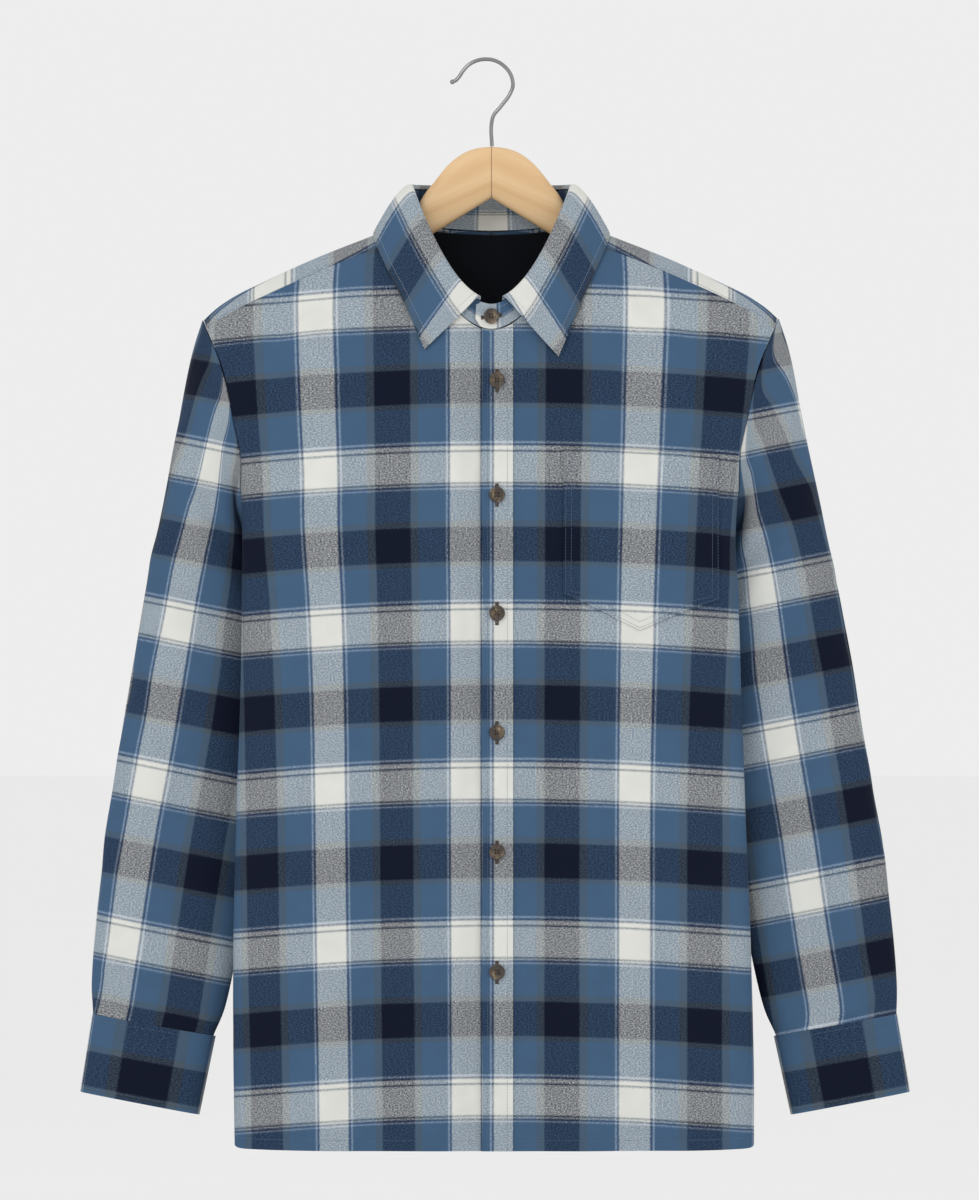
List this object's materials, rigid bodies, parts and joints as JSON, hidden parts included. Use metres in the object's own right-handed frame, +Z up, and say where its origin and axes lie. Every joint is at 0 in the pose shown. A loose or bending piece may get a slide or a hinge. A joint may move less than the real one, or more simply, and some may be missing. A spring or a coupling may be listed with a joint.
{
  "type": "flannel shirt on hanger",
  "caption": "Buttoned long-sleeved plaid flannel shirt with a chest patch pocket, hanging from a wooden hanger with a wire hook.",
  "frame": {"origin": "underside of the hook's crown, where a rail carries it", "axes": "+X to the wearer's left, -Y out of the shirt's front, +Z up"},
  "size_m": [0.6842, 0.1298, 0.9022],
  "materials": {
    "flannel": "brushed cotton twill woven in a blue, navy, cream and grey plaid",
    "lining": "plain near-black navy cotton",
    "horn_button": "mottled brown horn-look resin, satin polished",
    "hanger_wood": "pale blond wood under satin varnish",
    "hook_wire": "polished plated steel wire"
  },
  "bodies": {
    "root": {"back": "flannel", "button_collar": "horn_button", "button_cuff_left": "horn_button", "button_cuff_right": "horn_button", "button_front_1": "horn_button", "button_front_2": "horn_button", "button_front_3": "horn_button", "button_front_4": "horn_button", "button_front_5": "horn_button", "button_front_6": "horn_button", "collar": "flannel", "collar_stand": "flannel", "cuff_left": "flannel", "cuff_right": "flannel", "front_left": "flannel", "front_right": "flannel", "hanger": "hanger_wood", "hanger_hook": "hook_wire", "placket": "flannel", "pocket": "flannel", "sleeve_left": "flannel", "sleeve_right": "flannel", "yoke": "flannel", "yoke_lining": "lining"}
  },
  "joints": []
}
